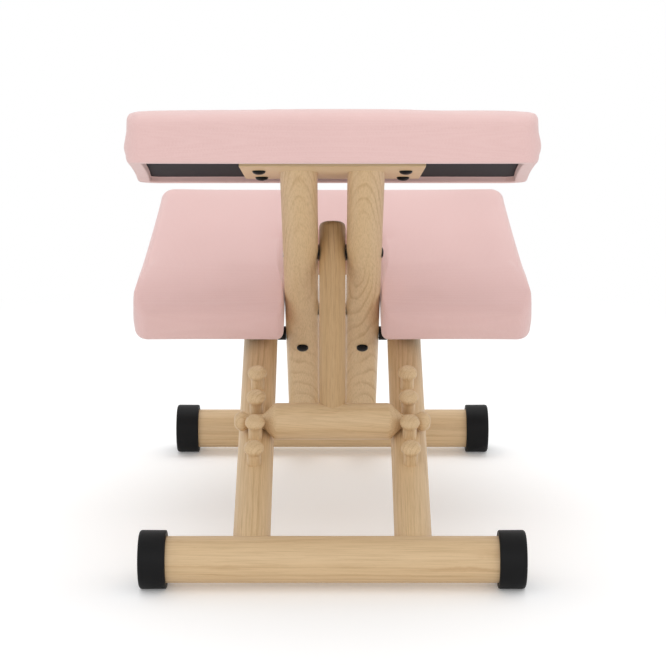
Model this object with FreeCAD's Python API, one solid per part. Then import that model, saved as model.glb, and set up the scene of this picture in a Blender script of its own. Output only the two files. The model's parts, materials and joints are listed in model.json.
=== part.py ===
"""Kneeling chair: a folding cross frame of round wood with a sloping seat and a notched knee pad.

The frame is a cross of two pairs of round bars. The two rails rise from the rear floor bar
and carry the knee pad. The two posts rise backwards from the front floor bar, between the
rails, and carry the seat. Both pairs turn on short steel pins where they cross. A strut hangs
between the posts and ends in a crosspiece, whose necks drop behind a pair of pegs on the rails.

Millimetres. X is across the chair, +Y is the way the sitter faces and +Z is up. The origin is
on the floor, midway between the two floor bars.
"""
import FreeCAD
import Part

import math
import os

# Floor bars and their rubber caps
BAR_SPACING = 577.5
BAR_DIAMETER = 53.4
BAR_OVERALL_LENGTH = 440.0
CAP_DIAMETER = 67.2
CAP_LENGTH = 31.0
CAP_END_WALL = 6.0
CAP_CORNER_RADIUS = 4.0
CAP_SOLE_DEPTH = 1.0

# Round bars of the cross
RAIL_DIAMETER = 43.3
RAIL_OFFSET = 93.15
RAIL_SLOPE = 25.2
RAIL_LENGTH = 590.0
POST_DIAMETER = 43.3
POST_OFFSET = 38.9
POST_SLOPE = 43.0
POST_ABOVE_PIVOT = 360.7
SHOULDER_TAPER_END = 40.0
SHOULDER_TAPER_DEPTH = 1.7
TENON_DIAMETER = 24.0
TENON_LENGTH = 20.0
SEAT_TENON_LENGTH = 15.0

# Strut and crosspiece
STRUT_DIAMETER = 32.5
STRUT_PIVOT_ON_POST = 193.2
STRUT_ABOVE_PIVOT = 38.0
STRUT_TOP_RADIUS = 8.0
CROSSPIECE_DIAMETER = 44.6
CROSSPIECE_FULL_LENGTH = 140.0
CROSSPIECE_OVERALL_LENGTH = 238.0
CROSSPIECE_KNOB_LENGTH = 16.0
STRUT_SCREW_DIAMETER = 6.0
STRUT_SCREW_LENGTH = 75.0
STRUT_SCREW_HEAD_DIAMETER = 12.0
STRUT_SCREW_HEAD_HEIGHT = 3.6
STRUT_SCREW_SINK = 6.0

# Pegs on the rails, counted from the rear, with the pair that holds the crosspiece
PEG_FIRST = 143.5
PEG_SPACING = 47.5
PEG_COUNT = 4
PEG_IN_USE = 1
PEG_NECK_DIAMETER = 17.0
PEG_HEAD_DIAMETER = 24.0
PEG_NECK_HEIGHT = 16.5
PEG_HEAD_HEIGHT = 12.5
PEG_DEPTH_IN_RAIL = 18.0

# Pins, bolts and other metal
PIVOT_PIN_DIAMETER = 10.0
PIVOT_PIN_DEPTH = 32.0
SPACER_DIAMETER = 18.0
DOME_DIAMETER = 15.0
DOME_HEIGHT = 4.5
LOCK_SCREW_DIAMETER = 6.0
STRUT_BOLT_DIAMETER = 8.0
STRUT_BOLT_HEAD_DIAMETER = 13.0
STRUT_BOLT_HEAD_HEIGHT = 2.2
STRUT_NUT_LENGTH = 14.0
STRUT_NUT_DIAMETER = 12.0
WASHER_DIAMETER = 20.0
TIE_ALONG_POST = 60.0
TIE_SLEEVE_DIAMETER = 17.0
TIE_ROD_DIAMETER = 8.0
TIE_ROD_DEPTH = 24.0
PAD_BOLT_DIAMETER = 6.0
T_NUT_FLANGE_DIAMETER = 19.0
T_NUT_FLANGE_THICKNESS = 1.5
T_NUT_BARREL_DIAMETER = 8.0
TURNED_NIB = 0.12

# Upholstery that both pads share
COVER_THICKNESS = 2.0
RIM_WIDTH = 17.0
RIM_DEPTH = 7.0
UNDER_PANEL_THICKNESS = 2.0
BOARD_THICKNESS = 15.0
BOARD_INSET = 13.0
TUCK_INSET = 8.0
TUCK_HEIGHT = 14.0
TUCK_ROLL_INSET = 3.4
TUCK_ROLL_HEIGHT = 4.0
SIDE_BOW_SPAN = 450.0
LEAST_CORNER_SHARE = 0.15
BRACKET_LET_IN = 11.0
BRACKET_CORNER_RADIUS = 5.0

# Seat, measured in its own sloping plane from where the posts meet it
SEAT_SLOPE = 12.1
SEAT_REAR = -139.0
SEAT_FRONT = 177.0
SEAT_WIDTH_REAR = 450.0
SEAT_WIDTH_FRONT = 484.0
SEAT_THICKNESS = 62.5
SEAT_CORNER_RADIUS = 34.0
SEAT_CROWN_INSET = 62.0
SEAT_CROWN_HEIGHT = 22.0
SEAT_SIDE_BOW = 2.5
SEAT_BRACKET_WIDTH = 208.0
SEAT_BRACKET_DEPTH = 180.0
SEAT_BRACKET_CENTRE = -3.0
SEAT_BRACKET_PROUD = 1.0
SEAT_BOLT_HALF_SPACING = 83.5
SEAT_BOLT_PLACES = (-35.0, 59.0)

# Knee pad, measured along the rails from the rear floor bar
KNEE_REAR = 358.0
KNEE_FRONT = 607.0
KNEE_WIDTH_REAR = 507.0
KNEE_WIDTH_FRONT = 459.0
KNEE_UNDERSIDE = 39.5
KNEE_THICKNESS = 67.0
KNEE_CORNER_RADIUS = 40.0
KNEE_CROWN_INSET = 48.0
KNEE_CROWN_HEIGHT = 30.0
KNEE_SIDE_BOW = 2.0
NOTCH_WIDTH = 124.0
NOTCH_DEPTH = 140.0
NOTCH_MOUTH_RADIUS = 22.0
NOTCH_INNER_RADIUS = 12.0
KNEE_BRACKET_WIDTH = 250.0
KNEE_BRACKET_REAR = 528.0
KNEE_BRACKET_LENGTH = 58.0
KNEE_SADDLE_DEPTH = 3.0
KNEE_BOLT_PLACES = (543.0, 571.0)

# Fits: glued or screwed, turning, and plain air between pieces that move past each other
GLUE_GAP = 0.05
RUNNING_GAP = 0.08
AIR_GAP = 0.3

X_AXIS = FreeCAD.Vector(1, 0, 0)
Y_AXIS = FreeCAD.Vector(0, 1, 0)
Z_AXIS = FreeCAD.Vector(0, 0, 1)
LEFT_AND_RIGHT = (("left", -1), ("right", 1))

os.makedirs("parts", exist_ok=True)


def save(name, *solids):
    """Write one node; several solids stay separate bodies of a compound."""
    shape = solids[0] if len(solids) == 1 else Part.makeCompound(list(solids))
    shape.exportStep("parts/" + name + ".step")


def side_direction(slope):
    """Unit vector in the side plane that points forward and up by the slope in degrees."""
    angle = math.radians(slope)
    return FreeCAD.Vector(0, math.cos(angle), math.sin(angle))


def rod(start, direction, diameter, length):
    return Part.makeCylinder(diameter / 2, length, start, direction)


def turned(profile_edges):
    """Turn a closed half profile, drawn as radius along X and height along Z, about Z."""
    wire = Part.Wire(profile_edges)
    solid = Part.Face(wire).revolve(FreeCAD.Vector(0, 0, 0), Z_AXIS, 360)
    if solid.Volume < 0:
        solid.reverse()
    return solid


def point(radius, height):
    return FreeCAD.Vector(radius, 0, height)


def line(start, end):
    return Part.makeLine(point(*start), point(*end))


def arc(start, middle, end):
    return Part.Arc(point(*start), point(*middle), point(*end)).toShape()


def carried(shape, place, rotation):
    """Copy of a shape, turned about the origin and then moved to a place."""
    moved = shape.copy()
    moved.Placement = FreeCAD.Placement(place, rotation).multiply(shape.Placement)
    return moved


def aim(shape, place, direction):
    """Carry a shape that stands on the origin along +Z to a place and a direction."""
    return carried(shape, place, FreeCAD.Rotation(Z_AXIS, direction))


def in_plane(shape, origin, slope):
    """Lay a shape drawn in a level pad plane into the sloping plane of its pad."""
    return carried(shape, origin, FreeCAD.Rotation(X_AXIS, slope))


def mushroom_edges(neck_radius, head_radius, neck_top, head_top, base):
    """Half profile of a shank that swells into a domed head, from its base upwards."""
    head = head_top - neck_top
    flare = (neck_radius + 0.85 * (head_radius - neck_radius), neck_top + 0.3 * head)
    rim = (head_radius, neck_top + 0.47 * head)
    shoulder = (0.93 * head_radius, neck_top + 0.64 * head)
    crown = (0.55 * head_radius, neck_top + 0.91 * head)
    nib = (TURNED_NIB * head_radius, head_top)
    return [
        line((0, base), (neck_radius, base)),
        line((neck_radius, base), (neck_radius, neck_top)),
        line((neck_radius, neck_top), flare),
        arc(flare, rim, shoulder),
        arc(shoulder, crown, nib),
        line(nib, (0, head_top)),
        line((0, head_top), (0, base)),
    ]


def dome_bolt(head_diameter, head_height, shank_diameter, shank_length):
    """Bolt whose domed head stands on the origin and whose shank runs down along -Z."""
    head = head_diameter / 2
    shank = shank_diameter / 2
    rim = 0.25 * head_height
    nib = TURNED_NIB * head
    return turned([
        line((0, -shank_length), (shank, -shank_length)),
        line((shank, -shank_length), (shank, 0)),
        line((shank, 0), (head, 0)),
        line((head, 0), (head, rim)),
        arc((head, rim), (0.62 * head, 0.8 * head_height), (nib, head_height)),
        line((nib, head_height), (0, head_height)),
        line((0, head_height), (0, -shank_length)),
    ])


# Where the axes of the round bars run and cross
rail_direction = side_direction(RAIL_SLOPE)
rail_normal = side_direction(RAIL_SLOPE + 90)
post_direction = side_direction(180 - POST_SLOPE)
post_normal = side_direction(90 - POST_SLOPE)
bar_axis_height = CAP_DIAMETER / 2 - CAP_SOLE_DEPTH
rear_axis = FreeCAD.Vector(0, -BAR_SPACING / 2, bar_axis_height)
front_axis = FreeCAD.Vector(0, BAR_SPACING / 2, bar_axis_height)
crossing_angle = math.radians(180 - RAIL_SLOPE - POST_SLOPE)
PIVOT_ON_RAIL = BAR_SPACING * math.sin(math.radians(POST_SLOPE)) / math.sin(crossing_angle)
PIVOT_ON_POST = BAR_SPACING * math.sin(math.radians(RAIL_SLOPE)) / math.sin(crossing_angle)
cross_pivot = rear_axis + rail_direction * PIVOT_ON_RAIL
post_top = cross_pivot + post_direction * POST_ABOVE_PIVOT
strut_pivot = cross_pivot + post_direction * STRUT_PIVOT_ON_POST

peg_places = [PEG_FIRST + PEG_SPACING * index for index in range(PEG_COUNT)]
neck_radius = PEG_NECK_DIAMETER / 2
crosspiece_along = peg_places[PEG_IN_USE] + PEG_NECK_DIAMETER + AIR_GAP
crosspiece_above = RAIL_DIAMETER / 2 + neck_radius + AIR_GAP
crosspiece_axis = rear_axis + rail_direction * crosspiece_along + rail_normal * crosspiece_above
strut_line = strut_pivot - crosspiece_axis
strut_direction = FreeCAD.Vector(strut_line)
strut_direction.normalize()


def floor_bar(axis, tenon_direction, tenon_offset):
    """Round bar across the chair, bored for the two tenons that stand in it."""
    length = BAR_OVERALL_LENGTH - 2 * CAP_END_WALL - 2 * GLUE_GAP
    bar = rod(axis - X_AXIS * (length / 2), X_AXIS, BAR_DIAMETER, length)
    bar = bar.makeChamfer(2.0, [bar.Edges[0], bar.Edges[2]])
    hole_start = BAR_DIAMETER / 2 - TENON_LENGTH - GLUE_GAP
    for _, side in LEFT_AND_RIGHT:
        place = axis + X_AXIS * (side * tenon_offset) + tenon_direction * hole_start
        bar = bar.cut(rod(place, tenon_direction, TENON_DIAMETER + 2 * GLUE_GAP, BAR_DIAMETER))
    return bar


def bar_cap(axis, side):
    """Moulded rubber cup over the end of a floor bar, with a flat sole on the floor."""
    outer = CAP_DIAMETER / 2
    bore = BAR_DIAMETER / 2 + GLUE_GAP
    corner = CAP_CORNER_RADIUS
    bend = corner * (1 - math.sqrt(0.5))
    cup = turned([
        line((0, CAP_LENGTH - CAP_END_WALL), (bore, CAP_LENGTH - CAP_END_WALL)),
        line((bore, CAP_LENGTH - CAP_END_WALL), (bore, 0)),
        line((bore, 0), (outer - corner / 2, 0)),
        line((outer - corner / 2, 0), (outer, corner / 2)),
        line((outer, corner / 2), (outer, CAP_LENGTH - corner)),
        arc((outer, CAP_LENGTH - corner), (outer - bend, CAP_LENGTH - bend), (outer - corner, CAP_LENGTH)),
        line((outer - corner, CAP_LENGTH), (0, CAP_LENGTH)),
        line((0, CAP_LENGTH), (0, CAP_LENGTH - CAP_END_WALL)),
    ])
    mouth = axis + X_AXIS * (side * (BAR_OVERALL_LENGTH / 2 - CAP_LENGTH))
    cup = aim(cup, mouth, X_AXIS * side)
    below_floor = Part.makeBox(3 * BAR_OVERALL_LENGTH, CAP_DIAMETER, CAP_DIAMETER)
    below_floor.translate(FreeCAD.Vector(-1.5 * BAR_OVERALL_LENGTH, axis.y - outer, -CAP_DIAMETER))
    return cup.cut(below_floor)


def shouldered_bar(axis, direction, diameter, length):
    """Round bar whose foot tapers, is coped to the floor bar and ends in a tenon."""
    radius = diameter / 2
    foot_radius = radius - SHOULDER_TAPER_DEPTH
    foot_length = SHOULDER_TAPER_END
    foot = Part.makeCone(foot_radius, radius, foot_length, axis, direction)
    shaft = rod(axis + direction * foot_length, direction, diameter, length - foot_length)
    body = foot.fuse(shaft)
    reach = BAR_OVERALL_LENGTH / 2
    coping = rod(axis - X_AXIS * reach, X_AXIS, BAR_DIAMETER + 2 * GLUE_GAP, 2 * reach)
    body = body.cut(coping)
    tenon_start = BAR_DIAMETER / 2 - TENON_LENGTH
    tenon = rod(axis + direction * tenon_start, direction, TENON_DIAMETER, TENON_LENGTH + radius)
    return body.fuse(tenon).removeSplitter()


def half_space_above(origin, slope):
    """Large block that lies on the far side of a sloping plane through the origin."""
    size = 2 * BAR_SPACING
    block = Part.makeBox(size, size, size)
    block.translate(FreeCAD.Vector(-size / 2, -size / 2, 0))
    return in_plane(block, origin, slope)


def make_rail(side):
    """Rail of the base, bored for its pegs, the crossing pin and the knee pad bolts."""
    axis = rear_axis + X_AXIS * (side * RAIL_OFFSET)
    rail = shouldered_bar(axis, rail_direction, RAIL_DIAMETER, RAIL_LENGTH)
    radius = RAIL_DIAMETER / 2
    for place in peg_places:
        bottom = radius - PEG_DEPTH_IN_RAIL - GLUE_GAP
        start = axis + rail_direction * place + rail_normal * bottom
        rail = rail.cut(rod(start, rail_normal, PEG_NECK_DIAMETER + 2 * GLUE_GAP, RAIL_DIAMETER))
    inner = axis + rail_direction * PIVOT_ON_RAIL - X_AXIS * (side * (radius + 1))
    bore = PIVOT_PIN_DIAMETER + 2 * RUNNING_GAP
    rail = rail.cut(rod(inner, X_AXIS * side, bore, PIVOT_PIN_DEPTH + 1 + AIR_GAP))
    for place in KNEE_BOLT_PLACES:
        start = axis + rail_direction * place - rail_normal * RAIL_DIAMETER
        rail = rail.cut(rod(start, rail_normal, PAD_BOLT_DIAMETER + 2 * GLUE_GAP, 2 * RAIL_DIAMETER))
    return rail


def make_post(side, seat_underside, tenon_slope):
    """Post of the seat frame, bored for the pins and bolts and cut to the seat's slope."""
    axis = front_axis + X_AXIS * (side * POST_OFFSET)
    top_length = PIVOT_ON_POST + POST_ABOVE_PIVOT
    post = shouldered_bar(axis, post_direction, POST_DIAMETER, top_length + POST_DIAMETER)
    post = post.cut(half_space_above(seat_underside, tenon_slope))
    radius = POST_DIAMETER / 2
    tenon_foot = axis + post_direction * (top_length - radius)
    tenon = rod(tenon_foot, post_direction, TENON_DIAMETER, radius + SEAT_TENON_LENGTH)
    post = post.fuse(tenon).removeSplitter()
    at_crossing = axis + post_direction * PIVOT_ON_POST
    outside = at_crossing + X_AXIS * (side * (radius + 1))
    pin_bore = PIVOT_PIN_DIAMETER + 2 * GLUE_GAP
    post = post.cut(rod(outside, X_AXIS * -side, pin_bore, PIVOT_PIN_DEPTH + 1 + GLUE_GAP))
    lock_bore = LOCK_SCREW_DIAMETER + 2 * GLUE_GAP
    post = post.cut(rod(at_crossing, post_normal * -1, lock_bore, POST_DIAMETER))
    at_strut = strut_pivot + X_AXIS * (side * (POST_OFFSET - POST_DIAMETER))
    strut_bore = STRUT_BOLT_DIAMETER + 2 * GLUE_GAP
    post = post.cut(rod(at_strut, X_AXIS * side, strut_bore, 2 * POST_DIAMETER))
    if side < 0:
        nut_mouth = strut_pivot - X_AXIS * (POST_OFFSET + radius + 1)
        nut_bore = STRUT_NUT_DIAMETER + 2 * GLUE_GAP
        post = post.cut(rod(nut_mouth, X_AXIS, nut_bore, 1 + STRUT_NUT_LENGTH + 2 * GLUE_GAP))
    at_tie = cross_pivot + post_direction * TIE_ALONG_POST
    tie_mouth = at_tie + X_AXIS * (side * (POST_OFFSET - radius - 1))
    tie_bore = TIE_ROD_DIAMETER + 2 * GLUE_GAP
    return post.cut(rod(tie_mouth, X_AXIS * side, tie_bore, TIE_ROD_DEPTH + 1 + GLUE_GAP))


def make_peg(side, place):
    """Turned peg with a mushroom head, glued into the top of a rail."""
    peg = turned(mushroom_edges(
        neck_radius, PEG_HEAD_DIAMETER / 2, PEG_NECK_HEIGHT, PEG_NECK_HEIGHT + PEG_HEAD_HEIGHT,
        -PEG_DEPTH_IN_RAIL))
    foot = rear_axis + X_AXIS * (side * RAIL_OFFSET) + rail_direction * place
    return aim(peg, foot + rail_normal * (RAIL_DIAMETER / 2), rail_normal)


def make_crosspiece():
    """Turned crosspiece: full in the middle, coned down to two necks that end in knobs."""
    full = CROSSPIECE_FULL_LENGTH / 2
    end = CROSSPIECE_OVERALL_LENGTH / 2
    radius = CROSSPIECE_DIAMETER / 2
    half_profile = mushroom_edges(
        neck_radius, PEG_HEAD_DIAMETER / 2, end - CROSSPIECE_KNOB_LENGTH, end, 0)
    knob_end = turned(half_profile)
    cone = Part.makeCone(radius, neck_radius, radius - neck_radius, FreeCAD.Vector(0, 0, full))
    half = Part.makeCylinder(radius, full).fuse(cone).fuse(knob_end)
    whole = aim(half, crosspiece_axis, X_AXIS)
    whole = whole.fuse(aim(half, crosspiece_axis, X_AXIS * -1)).removeSplitter()
    screw_start = crosspiece_axis - strut_direction * radius * 2
    bore = STRUT_SCREW_DIAMETER + 2 * GLUE_GAP
    whole = whole.cut(rod(screw_start, strut_direction, bore, 4 * radius))
    seat = crosspiece_axis - strut_direction * (radius + 1)
    head_bore = STRUT_SCREW_HEAD_DIAMETER + 2 * GLUE_GAP
    return whole.cut(rod(seat, strut_direction, head_bore, 1 + STRUT_SCREW_SINK + GLUE_GAP))


def make_strut():
    """Round strut, domed at the top and coped over the crosspiece at the foot."""
    length = strut_line.Length + STRUT_ABOVE_PIVOT
    strut = rod(crosspiece_axis, strut_direction, STRUT_DIAMETER, length)
    top_edges = [edge for edge in strut.Edges
                 if abs((edge.CenterOfMass - crosspiece_axis).dot(strut_direction) - length) < 0.01]
    strut = strut.makeFillet(STRUT_TOP_RADIUS, top_edges)
    reach = CROSSPIECE_FULL_LENGTH
    coping = rod(crosspiece_axis - X_AXIS * reach, X_AXIS, CROSSPIECE_DIAMETER + 2 * GLUE_GAP, 2 * reach)
    strut = strut.cut(coping)
    bore = STRUT_BOLT_DIAMETER + 2 * RUNNING_GAP
    strut = strut.cut(rod(strut_pivot - X_AXIS * STRUT_DIAMETER, X_AXIS, bore, 2 * STRUT_DIAMETER))
    screw_bore = STRUT_SCREW_DIAMETER + 2 * GLUE_GAP
    return strut.cut(rod(crosspiece_axis, strut_direction, screw_bore, STRUT_SCREW_LENGTH))


def make_strut_screw():
    """Wood screw up through the crosspiece into the strut, its head sunk in a counterbore."""
    head_base = CROSSPIECE_DIAMETER / 2 - STRUT_SCREW_SINK
    start = crosspiece_axis - strut_direction * head_base
    shank = rod(start, strut_direction, STRUT_SCREW_DIAMETER, STRUT_SCREW_LENGTH)
    head = rod(start - strut_direction * STRUT_SCREW_HEAD_HEIGHT, strut_direction,
               STRUT_SCREW_HEAD_DIAMETER, STRUT_SCREW_HEAD_HEIGHT)
    return shank.fuse(head)


def outline(corners, inset, height, bow):
    """Closed wire round a pad at one height, moved in by the inset.

    Corners run anticlockwise as (x, y, radius). Outer corners lose the inset from their
    radius and inner corners gain it. Each side is drawn in by the bow over the bow's span,
    and by less where it is shorter.
    """
    count = len(corners)
    sides = []
    for index in range(count):
        x0, y0, _ = corners[index]
        x1, y1, _ = corners[(index + 1) % count]
        length = math.hypot(x1 - x0, y1 - y0)
        ux = (x1 - x0) / length
        uy = (y1 - y0) / length
        sides.append((x0 - uy * inset, y0 + ux * inset, ux, uy))
    bends = []
    for index in range(count):
        px, py, ux, uy = sides[index - 1]
        qx, qy, vx, vy = sides[index]
        turn = ux * vy - uy * vx
        along = ((qx - px) * vy - (qy - py) * vx) / turn
        corner = FreeCAD.Vector(px + ux * along, py + uy * along, height)
        wanted = corners[index][2]
        radius = max(wanted - inset, LEAST_CORNER_SHARE * wanted) if turn > 0 else wanted + inset
        half_turn = abs(math.atan2(turn, ux * vx + uy * vy)) / 2
        setback = radius * math.tan(half_turn)
        incoming = FreeCAD.Vector(ux, uy, 0)
        outgoing = FreeCAD.Vector(vx, vy, 0)
        start = corner - incoming * setback
        end = corner + outgoing * setback
        inward = outgoing - incoming
        inward.normalize()
        middle = corner + inward * (radius / math.cos(half_turn) - radius)
        bends.append((start, middle, end))
    edges = []
    for index in range(count):
        start, middle, end = bends[index]
        following = bends[(index + 1) % count][0]
        edges.append(Part.Arc(start, middle, end).toShape())
        if bow == 0:
            edges.append(Part.makeLine(end, following))
            continue
        side = following - end
        inward = FreeCAD.Vector(-side.y, side.x, 0)
        inward.normalize()
        centre = (end + following) * 0.5 + inward * (bow * side.Length / SIDE_BOW_SPAN)
        edges.append(Part.Arc(end, centre, following).toShape())
    return Part.Wire(edges)


def prism(corners, inset, bottom, top, bow=0):
    """Straight block on a pad's outline, moved in by the inset."""
    face = Part.Face(outline(corners, inset, bottom, bow))
    return face.extrude(FreeCAD.Vector(0, 0, top - bottom))


def cushion_form(corners, thickness, crown_inset, crown_height, bow, skin):
    """Cushion shape, drawn in at its underside, full in the middle and crowned on top.

    The skin is how far inside the outer surface the form lies. The crown is a quarter
    ellipse that reaches in by the crown inset while it climbs the crown height.
    """
    levels = [(skin, TUCK_INSET), (skin + TUCK_ROLL_HEIGHT, TUCK_ROLL_INSET), (TUCK_HEIGHT, 0.0)]
    crown_base = thickness - crown_height
    for degrees in (0, 22, 42, 60, 76, 90):
        angle = math.radians(degrees)
        height = crown_base + (crown_height - skin) * math.sin(angle)
        levels.append((height, (crown_inset - skin) * (1 - math.cos(angle))))
    wires = [outline(corners, skin + inset, height, bow) for height, inset in levels]
    return Part.makeLoft(wires, True, True)


def upholstered_pad(name, place, corners, thickness, crown_inset, crown_height, bow,
                    bracket, bolt_places):
    """Board, foam, cover, under panel and T-nuts of one pad, in the pad's own plane."""
    origin, slope = place
    board_bottom = RIM_DEPTH + UNDER_PANEL_THICKNESS
    board_top = board_bottom + BOARD_THICKNESS
    outer = cushion_form(corners, thickness, crown_inset, crown_height, bow, 0.0)
    inner = cushion_form(corners, thickness, crown_inset, crown_height, bow, COVER_THICKNESS)
    lining = RIM_WIDTH - COVER_THICKNESS
    recess = prism(corners, RIM_WIDTH, -1.0, board_bottom)
    lined_recess = prism(corners, lining, -1.0, board_bottom)
    cover = outer.cut(inner.cut(lined_recess)).cut(recess)
    board_hole = prism(corners, BOARD_INSET, board_bottom, board_top)
    foam = inner.cut(lined_recess).cut(board_hole)
    board = prism(corners, BOARD_INSET + GLUE_GAP, board_bottom, board_top)
    panel = prism(corners, RIM_WIDTH + GLUE_GAP, RIM_DEPTH, board_bottom)
    bracket_hole = bracket_block(bracket, GLUE_GAP, 0.0, board_bottom + BRACKET_LET_IN)
    board = board.cut(bracket_hole)
    panel = panel.cut(bracket_hole)
    nuts = []
    for x, y in bolt_places:
        foot = FreeCAD.Vector(x, y, 0)
        board = board.cut(rod(foot, Z_AXIS, T_NUT_BARREL_DIAMETER + 2 * GLUE_GAP, board_top))
        flange_foot = FreeCAD.Vector(x, y, board_top - T_NUT_FLANGE_THICKNESS)
        pocket = rod(flange_foot, Z_AXIS, T_NUT_FLANGE_DIAMETER + 2 * GLUE_GAP, BOARD_THICKNESS)
        board = board.cut(pocket)
        flange = rod(flange_foot, Z_AXIS, T_NUT_FLANGE_DIAMETER, T_NUT_FLANGE_THICKNESS)
        barrel_bottom = board_bottom + BRACKET_LET_IN
        barrel_foot = FreeCAD.Vector(x, y, barrel_bottom)
        barrel = rod(barrel_foot, Z_AXIS, T_NUT_BARREL_DIAMETER, board_top - barrel_bottom)
        bore = rod(foot, Z_AXIS, PAD_BOLT_DIAMETER + 2 * GLUE_GAP, 2 * board_top)
        nuts.append(flange.fuse(barrel).cut(bore))
    for part_name, shape in (("cover", cover), ("foam", foam), ("board", board),
                             ("under_panel", panel)):
        save(name + "_" + part_name, in_plane(shape, origin, slope))
    save(name + "_t_nuts", *[in_plane(nut, origin, slope) for nut in nuts])


def bracket_block(bracket, clearance, bottom, top):
    """Block of a wooden bracket with rounded corners, larger all round by the clearance."""
    width, rear, front = bracket
    corners = rectangle(width / 2, width / 2, rear, front, BRACKET_CORNER_RADIUS)
    return prism(corners, -clearance, bottom, top)


def rectangle(half_rear, half_front, rear, front, radius):
    return [
        (-half_rear, rear, radius), (half_rear, rear, radius),
        (half_front, front, radius), (-half_front, front, radius),
    ]


# Base: rear floor bar, caps, rails and pegs
save("rear_floor_bar", floor_bar(rear_axis, rail_direction, RAIL_OFFSET))
save("front_floor_bar", floor_bar(front_axis, post_direction, POST_OFFSET))
for side_name, side in LEFT_AND_RIGHT:
    save("rear_cap_" + side_name, bar_cap(rear_axis, side))
    save("front_cap_" + side_name, bar_cap(front_axis, side))
    save("rail_" + side_name, make_rail(side))
    for index, place in enumerate(peg_places):
        save("peg_" + side_name + "_" + str(index + 1), make_peg(side, place))

# Seat, laid in the plane that the tops of the posts are cut to
seat_place = (post_top, -SEAT_SLOPE)
seat_up = side_direction(90 - SEAT_SLOPE)
seat_pad_place = (post_top + seat_up * SEAT_BRACKET_PROUD, -SEAT_SLOPE)
seat_corners = rectangle(
    SEAT_WIDTH_REAR / 2, SEAT_WIDTH_FRONT / 2, SEAT_REAR, SEAT_FRONT, SEAT_CORNER_RADIUS)
seat_bracket_rear = SEAT_BRACKET_CENTRE - SEAT_BRACKET_DEPTH / 2
seat_bracket_front = SEAT_BRACKET_CENTRE + SEAT_BRACKET_DEPTH / 2
seat_bracket_size = (SEAT_BRACKET_WIDTH, seat_bracket_rear, seat_bracket_front)
seat_bolt_places = [(side * SEAT_BOLT_HALF_SPACING, along)
                    for along in SEAT_BOLT_PLACES for _, side in LEFT_AND_RIGHT]
upholstered_pad("seat", seat_pad_place, seat_corners, SEAT_THICKNESS, SEAT_CROWN_INSET,
                SEAT_CROWN_HEIGHT, SEAT_SIDE_BOW, seat_bracket_size, seat_bolt_places)

board_underside = RIM_DEPTH + UNDER_PANEL_THICKNESS
bracket_top = board_underside + BRACKET_LET_IN
seat_bracket = bracket_block(seat_bracket_size, 0.0, -SEAT_BRACKET_PROUD, bracket_top)
for x, y in seat_bolt_places:
    bolt_hole_foot = FreeCAD.Vector(x, y, -bracket_top)
    bolt_bore = PAD_BOLT_DIAMETER + 2 * GLUE_GAP
    seat_bracket = seat_bracket.cut(rod(bolt_hole_foot, Z_AXIS, bolt_bore, 3 * bracket_top))
seat_bracket = in_plane(seat_bracket, *seat_pad_place)
for _, side in LEFT_AND_RIGHT:
    socket_foot = post_top + X_AXIS * (side * POST_OFFSET) - post_direction * POST_DIAMETER
    socket_depth = POST_DIAMETER + SEAT_TENON_LENGTH + GLUE_GAP
    socket_bore = TENON_DIAMETER + 2 * GLUE_GAP
    seat_bracket = seat_bracket.cut(rod(socket_foot, post_direction, socket_bore, socket_depth))
save("seat_bracket", seat_bracket)

seat_bolts = []
seat_bolt_length = SEAT_BRACKET_PROUD + board_underside + BOARD_THICKNESS - T_NUT_FLANGE_THICKNESS
for x, y in seat_bolt_places:
    bolt = dome_bolt(DOME_DIAMETER, DOME_HEIGHT, PAD_BOLT_DIAMETER, seat_bolt_length)
    bolt = aim(bolt, FreeCAD.Vector(x, y, -SEAT_BRACKET_PROUD), Z_AXIS * -1)
    seat_bolts.append(in_plane(bolt, *seat_pad_place))
save("seat_bolts", *seat_bolts)

# Posts, with what pins and ties them
for side_name, side in LEFT_AND_RIGHT:
    save("post_" + side_name, make_post(side, *seat_place))

post_inner = POST_OFFSET - POST_DIAMETER / 2
post_outer = POST_OFFSET + POST_DIAMETER / 2
rail_inner = RAIL_OFFSET - RAIL_DIAMETER / 2
lock_screws = []
for side_name, side in LEFT_AND_RIGHT:
    outward = X_AXIS * side
    pin_start = cross_pivot + outward * (post_outer - PIVOT_PIN_DEPTH)
    pin_length = PIVOT_PIN_DEPTH + rail_inner - post_outer + PIVOT_PIN_DEPTH
    lock_flat = PIVOT_PIN_DIAMETER / 2
    save("cross_pin_" + side_name, rod(pin_start, outward, PIVOT_PIN_DIAMETER, pin_length))
    spacer_start = cross_pivot + outward * (post_outer + GLUE_GAP)
    spacer_length = rail_inner - post_outer - AIR_GAP - GLUE_GAP
    spacer = rod(spacer_start, outward, SPACER_DIAMETER, spacer_length)
    spacer_bore = rod(spacer_start, outward, PIVOT_PIN_DIAMETER + 2 * GLUE_GAP, spacer_length)
    save("cross_spacer_" + side_name, spacer.cut(spacer_bore))
    screw_length = POST_DIAMETER / 2 - lock_flat - GLUE_GAP
    screw = dome_bolt(DOME_DIAMETER, DOME_HEIGHT, LOCK_SCREW_DIAMETER, screw_length)
    screw_seat = cross_pivot + outward * POST_OFFSET - post_normal * (POST_DIAMETER / 2)
    lock_screws.append(aim(screw, screw_seat, post_normal * -1))
save("lock_screws", *lock_screws)

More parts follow.
